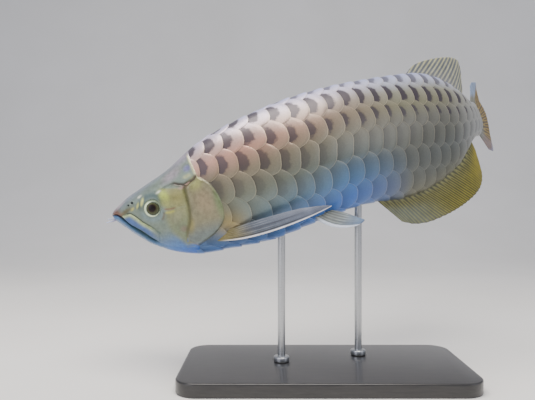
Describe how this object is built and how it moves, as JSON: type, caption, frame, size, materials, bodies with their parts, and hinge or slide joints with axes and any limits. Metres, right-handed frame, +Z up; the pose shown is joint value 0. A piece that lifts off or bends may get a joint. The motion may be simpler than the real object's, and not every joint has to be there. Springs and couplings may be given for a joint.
{
  "type": "asian arowana model",
  "caption": "Still life-size model of an asian arowana in mid turn, with large scales, barbels and rayed fins, held over a flat base by short rods",
  "frame": {"origin": "centre of the underside of the stand's base", "axes": "+X from the head towards the tail along the base's long side, +Y away from the fish's left side, +Z up"},
  "size_m": [0.5013, 0.3162, 0.3743],
  "materials": {
    "scales": "pearl silver lacquer over moulded scales",
    "head_skin": "satin pearl lacquer",
    "gill_skin": "olive gold pearl lacquer",
    "jaw_skin": "satin pearl lacquer",
    "eye": "polished",
    "fin_membrane": "satin, thin and slightly clear",
    "anal_membrane": "satin, thin and slightly clear",
    "caudal_membrane": "satin, thin and slightly clear",
    "barbel": "satin",
    "stand_black": "smooth black lacquer",
    "rod_steel": "brushed"
  },
  "bodies": {
    "root": {"head": "head_skin", "lower_jaw": "jaw_skin", "maxilla_left": "jaw_skin", "maxilla_right": "jaw_skin", "gill_cover_left": "gill_skin", "gill_cover_right": "gill_skin", "eye_left": "eye", "eye_right": "eye", "barbel_left": "barbel", "barbel_right": "barbel", "torso_front": "scales", "torso_mid": "scales", "torso_rear": "scales", "tail_base": "scales", "dorsal_fin": "fin_membrane", "pectoral_fin_left": "fin_membrane", "pectoral_fin_right": "fin_membrane", "pelvic_fin_left": "fin_membrane", "pelvic_fin_right": "fin_membrane", "anal_fin": "anal_membrane", "caudal_fin": "caudal_membrane", "stand_base": "stand_black", "stand_rod_front": "rod_steel", "stand_rod_rear": "rod_steel"}
  },
  "joints": []
}
